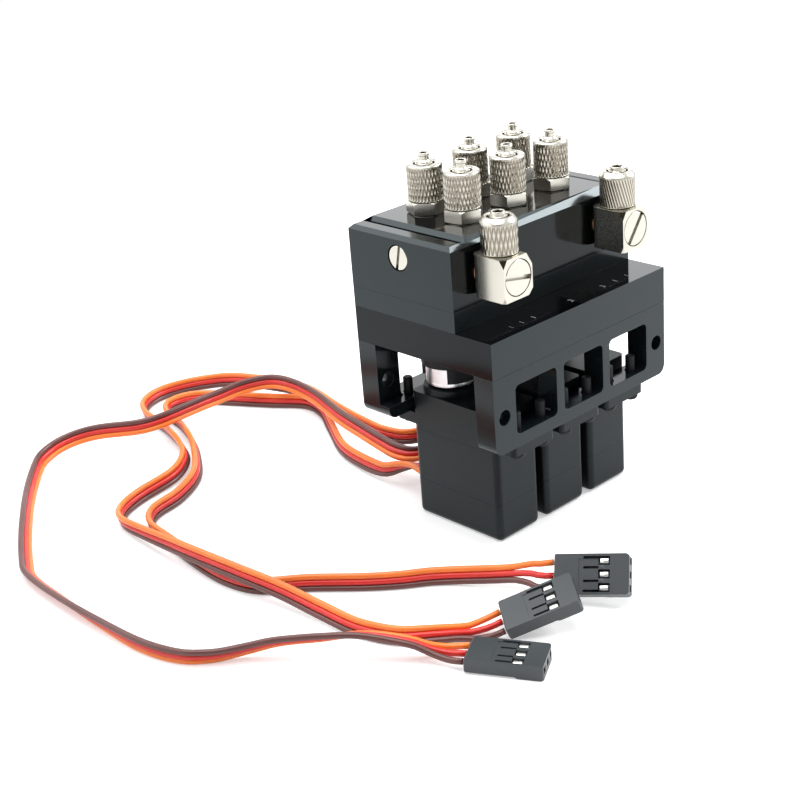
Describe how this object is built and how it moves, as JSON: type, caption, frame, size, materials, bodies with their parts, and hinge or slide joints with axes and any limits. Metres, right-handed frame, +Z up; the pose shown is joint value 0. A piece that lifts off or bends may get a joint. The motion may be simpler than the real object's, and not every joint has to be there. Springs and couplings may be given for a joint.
{
  "type": "servo-driven valve block",
  "caption": "Rotary valve block with hose fittings on its deck and elbow fittings in front, turned by micro servos hung under a windowed bracket, with loose leads and plugs.",
  "frame": {"origin": "on the standing face under the servos, at the middle of the body's outline without its leads and plugs", "axes": "+X along the block towards the end with no gallery plug, +Y from the elbow fittings towards the side the leads leave, +Z up"},
  "size_m": [0.1182, 0.156, 0.0754],
  "materials": {
    "black_anodised": "black anodised, semi-gloss",
    "black_plastic": "fine satin",
    "nickel_plate": "nickel plated",
    "bare_aluminium": "turned",
    "dark_steel": "black oxide",
    "copper_seal": "plain",
    "wire_insulation": "satin"
  },
  "bodies": {
    "frame": {"valve_block": "black_anodised", "valve_base_plate": "black_anodised", "bracket_top_plate": "black_anodised", "bracket_front_wall": "black_anodised", "bracket_rear_wall": "black_anodised", "gallery_plug": "nickel_plate", "hose_fitting_front_1": "nickel_plate", "hose_fitting_front_2": "nickel_plate", "hose_fitting_front_3": "nickel_plate", "hose_fitting_rear_1": "nickel_plate", "hose_fitting_rear_2": "nickel_plate", "hose_fitting_rear_3": "nickel_plate", "banjo_bolt_left": "nickel_plate", "banjo_washer_left": "copper_seal", "banjo_bolt_right": "nickel_plate", "banjo_washer_right": "copper_seal", "servo_bottom_cover_1": "black_plastic", "servo_middle_case_1": "black_plastic", "servo_top_case_1": "black_plastic", "servo_screw_1_front_left": "dark_steel", "servo_screw_1_front_right": "dark_steel", "servo_screw_1_rear_left": "dark_steel", "servo_screw_1_rear_right": "dark_steel", "servo_plug_1": "black_plastic", "servo_lead_1": "wire_insulation", "servo_bottom_cover_2": "black_plastic", "servo_middle_case_2": "black_plastic", "servo_top_case_2": "black_plastic", "servo_screw_2_front_left": "dark_steel", "servo_screw_2_front_right": "dark_steel", "servo_screw_2_rear_left": "dark_steel", "servo_screw_2_rear_right": "dark_steel", "servo_plug_2": "black_plastic", "servo_lead_2": "wire_insulation", "servo_bottom_cover_3": "black_plastic", "servo_middle_case_3": "black_plastic", "servo_top_case_3": "black_plastic", "servo_screw_3_front_left": "dark_steel", "servo_screw_3_front_right": "dark_steel", "servo_screw_3_rear_left": "dark_steel", "servo_screw_3_rear_right": "dark_steel", "servo_plug_3": "black_plastic", "servo_lead_3": "wire_insulation"},
    "spool_1": {"valve_spool_1": "dark_steel", "drive_disc_1": "bare_aluminium"},
    "spool_2": {"valve_spool_2": "dark_steel", "drive_disc_2": "bare_aluminium"},
    "spool_3": {"valve_spool_3": "dark_steel", "drive_disc_3": "bare_aluminium"},
    "elbow_left": {"elbow_body_left": "nickel_plate"},
    "elbow_nut_left": {"elbow_nut_left": "nickel_plate"},
    "elbow_right": {"elbow_body_right": "nickel_plate"},
    "elbow_nut_right": {"elbow_nut_right": "nickel_plate"},
    "hose_nut_front_1": {"hose_nut_front_1": "nickel_plate"},
    "hose_nut_front_2": {"hose_nut_front_2": "nickel_plate"},
    "hose_nut_front_3": {"hose_nut_front_3": "nickel_plate"},
    "hose_nut_rear_1": {"hose_nut_rear_1": "nickel_plate"},
    "hose_nut_rear_2": {"hose_nut_rear_2": "nickel_plate"},
    "hose_nut_rear_3": {"hose_nut_rear_3": "nickel_plate"}
  },
  "joints": [
    {"name": "valve_turn_1", "type": "hinge", "parent": "frame", "child": "spool_1", "pos_m": [-0.01404, 0.00455, 0.034], "axis": [0, 0, 1], "range_deg": [-60, 60]},
    {"name": "valve_turn_2", "type": "hinge", "parent": "frame", "child": "spool_2", "pos_m": [0, 0.00455, 0.034], "axis": [0, 0, 1], "range_deg": [-60, 60]},
    {"name": "valve_turn_3", "type": "hinge", "parent": "frame", "child": "spool_3", "pos_m": [0.01404, 0.00455, 0.034], "axis": [0, 0, 1], "range_deg": [-60, 60]},
    {"name": "elbow_swivel_left", "type": "hinge", "parent": "frame", "child": "elbow_left", "pos_m": [-0.01735, -0.01365, 0.0566], "axis": [0, 1, 0], "range_deg": [-120, 120]},
    {"name": "elbow_nut_turn_left", "type": "hinge", "parent": "elbow_left", "child": "elbow_nut_left", "pos_m": [-0.01735, -0.01365, 0.0645], "axis": [0, 0, 1], "continuous": true},
    {"name": "elbow_swivel_right", "type": "hinge", "parent": "frame", "child": "elbow_right", "pos_m": [0.01735, -0.01365, 0.0566], "axis": [0, 1, 0], "range_deg": [-120, 120]},
    {"name": "elbow_nut_turn_right", "type": "hinge", "parent": "elbow_right", "child": "elbow_nut_right", "pos_m": [0.01735, -0.01365, 0.0645], "axis": [0, 0, 1], "continuous": true},
    {"name": "hose_nut_turn_front_1", "type": "hinge", "parent": "frame", "child": "hose_nut_front_1", "pos_m": [-0.01286, -0.00045, 0.0703], "axis": [0, 0, 1], "continuous": true},
    {"name": "hose_nut_turn_front_2", "type": "hinge", "parent": "frame", "child": "hose_nut_front_2", "pos_m": [0, -0.00045, 0.0703], "axis": [0, 0, 1], "continuous": true},
    {"name": "hose_nut_turn_front_3", "type": "hinge", "parent": "frame", "child": "hose_nut_front_3", "pos_m": [0.01286, -0.00045, 0.0703], "axis": [0, 0, 1], "continuous": true},
    {"name": "hose_nut_turn_rear_1", "type": "hinge", "parent": "frame", "child": "hose_nut_rear_1", "pos_m": [-0.01286, 0.00955, 0.0703], "axis": [0, 0, 1], "continuous": true},
    {"name": "hose_nut_turn_rear_2", "type": "hinge", "parent": "frame", "child": "hose_nut_rear_2", "pos_m": [0, 0.00955, 0.0703], "axis": [0, 0, 1], "continuous": true},
    {"name": "hose_nut_turn_rear_3", "type": "hinge", "parent": "frame", "child": "hose_nut_rear_3", "pos_m": [0.01286, 0.00955, 0.0703], "axis": [0, 0, 1], "continuous": true}
  ]
}
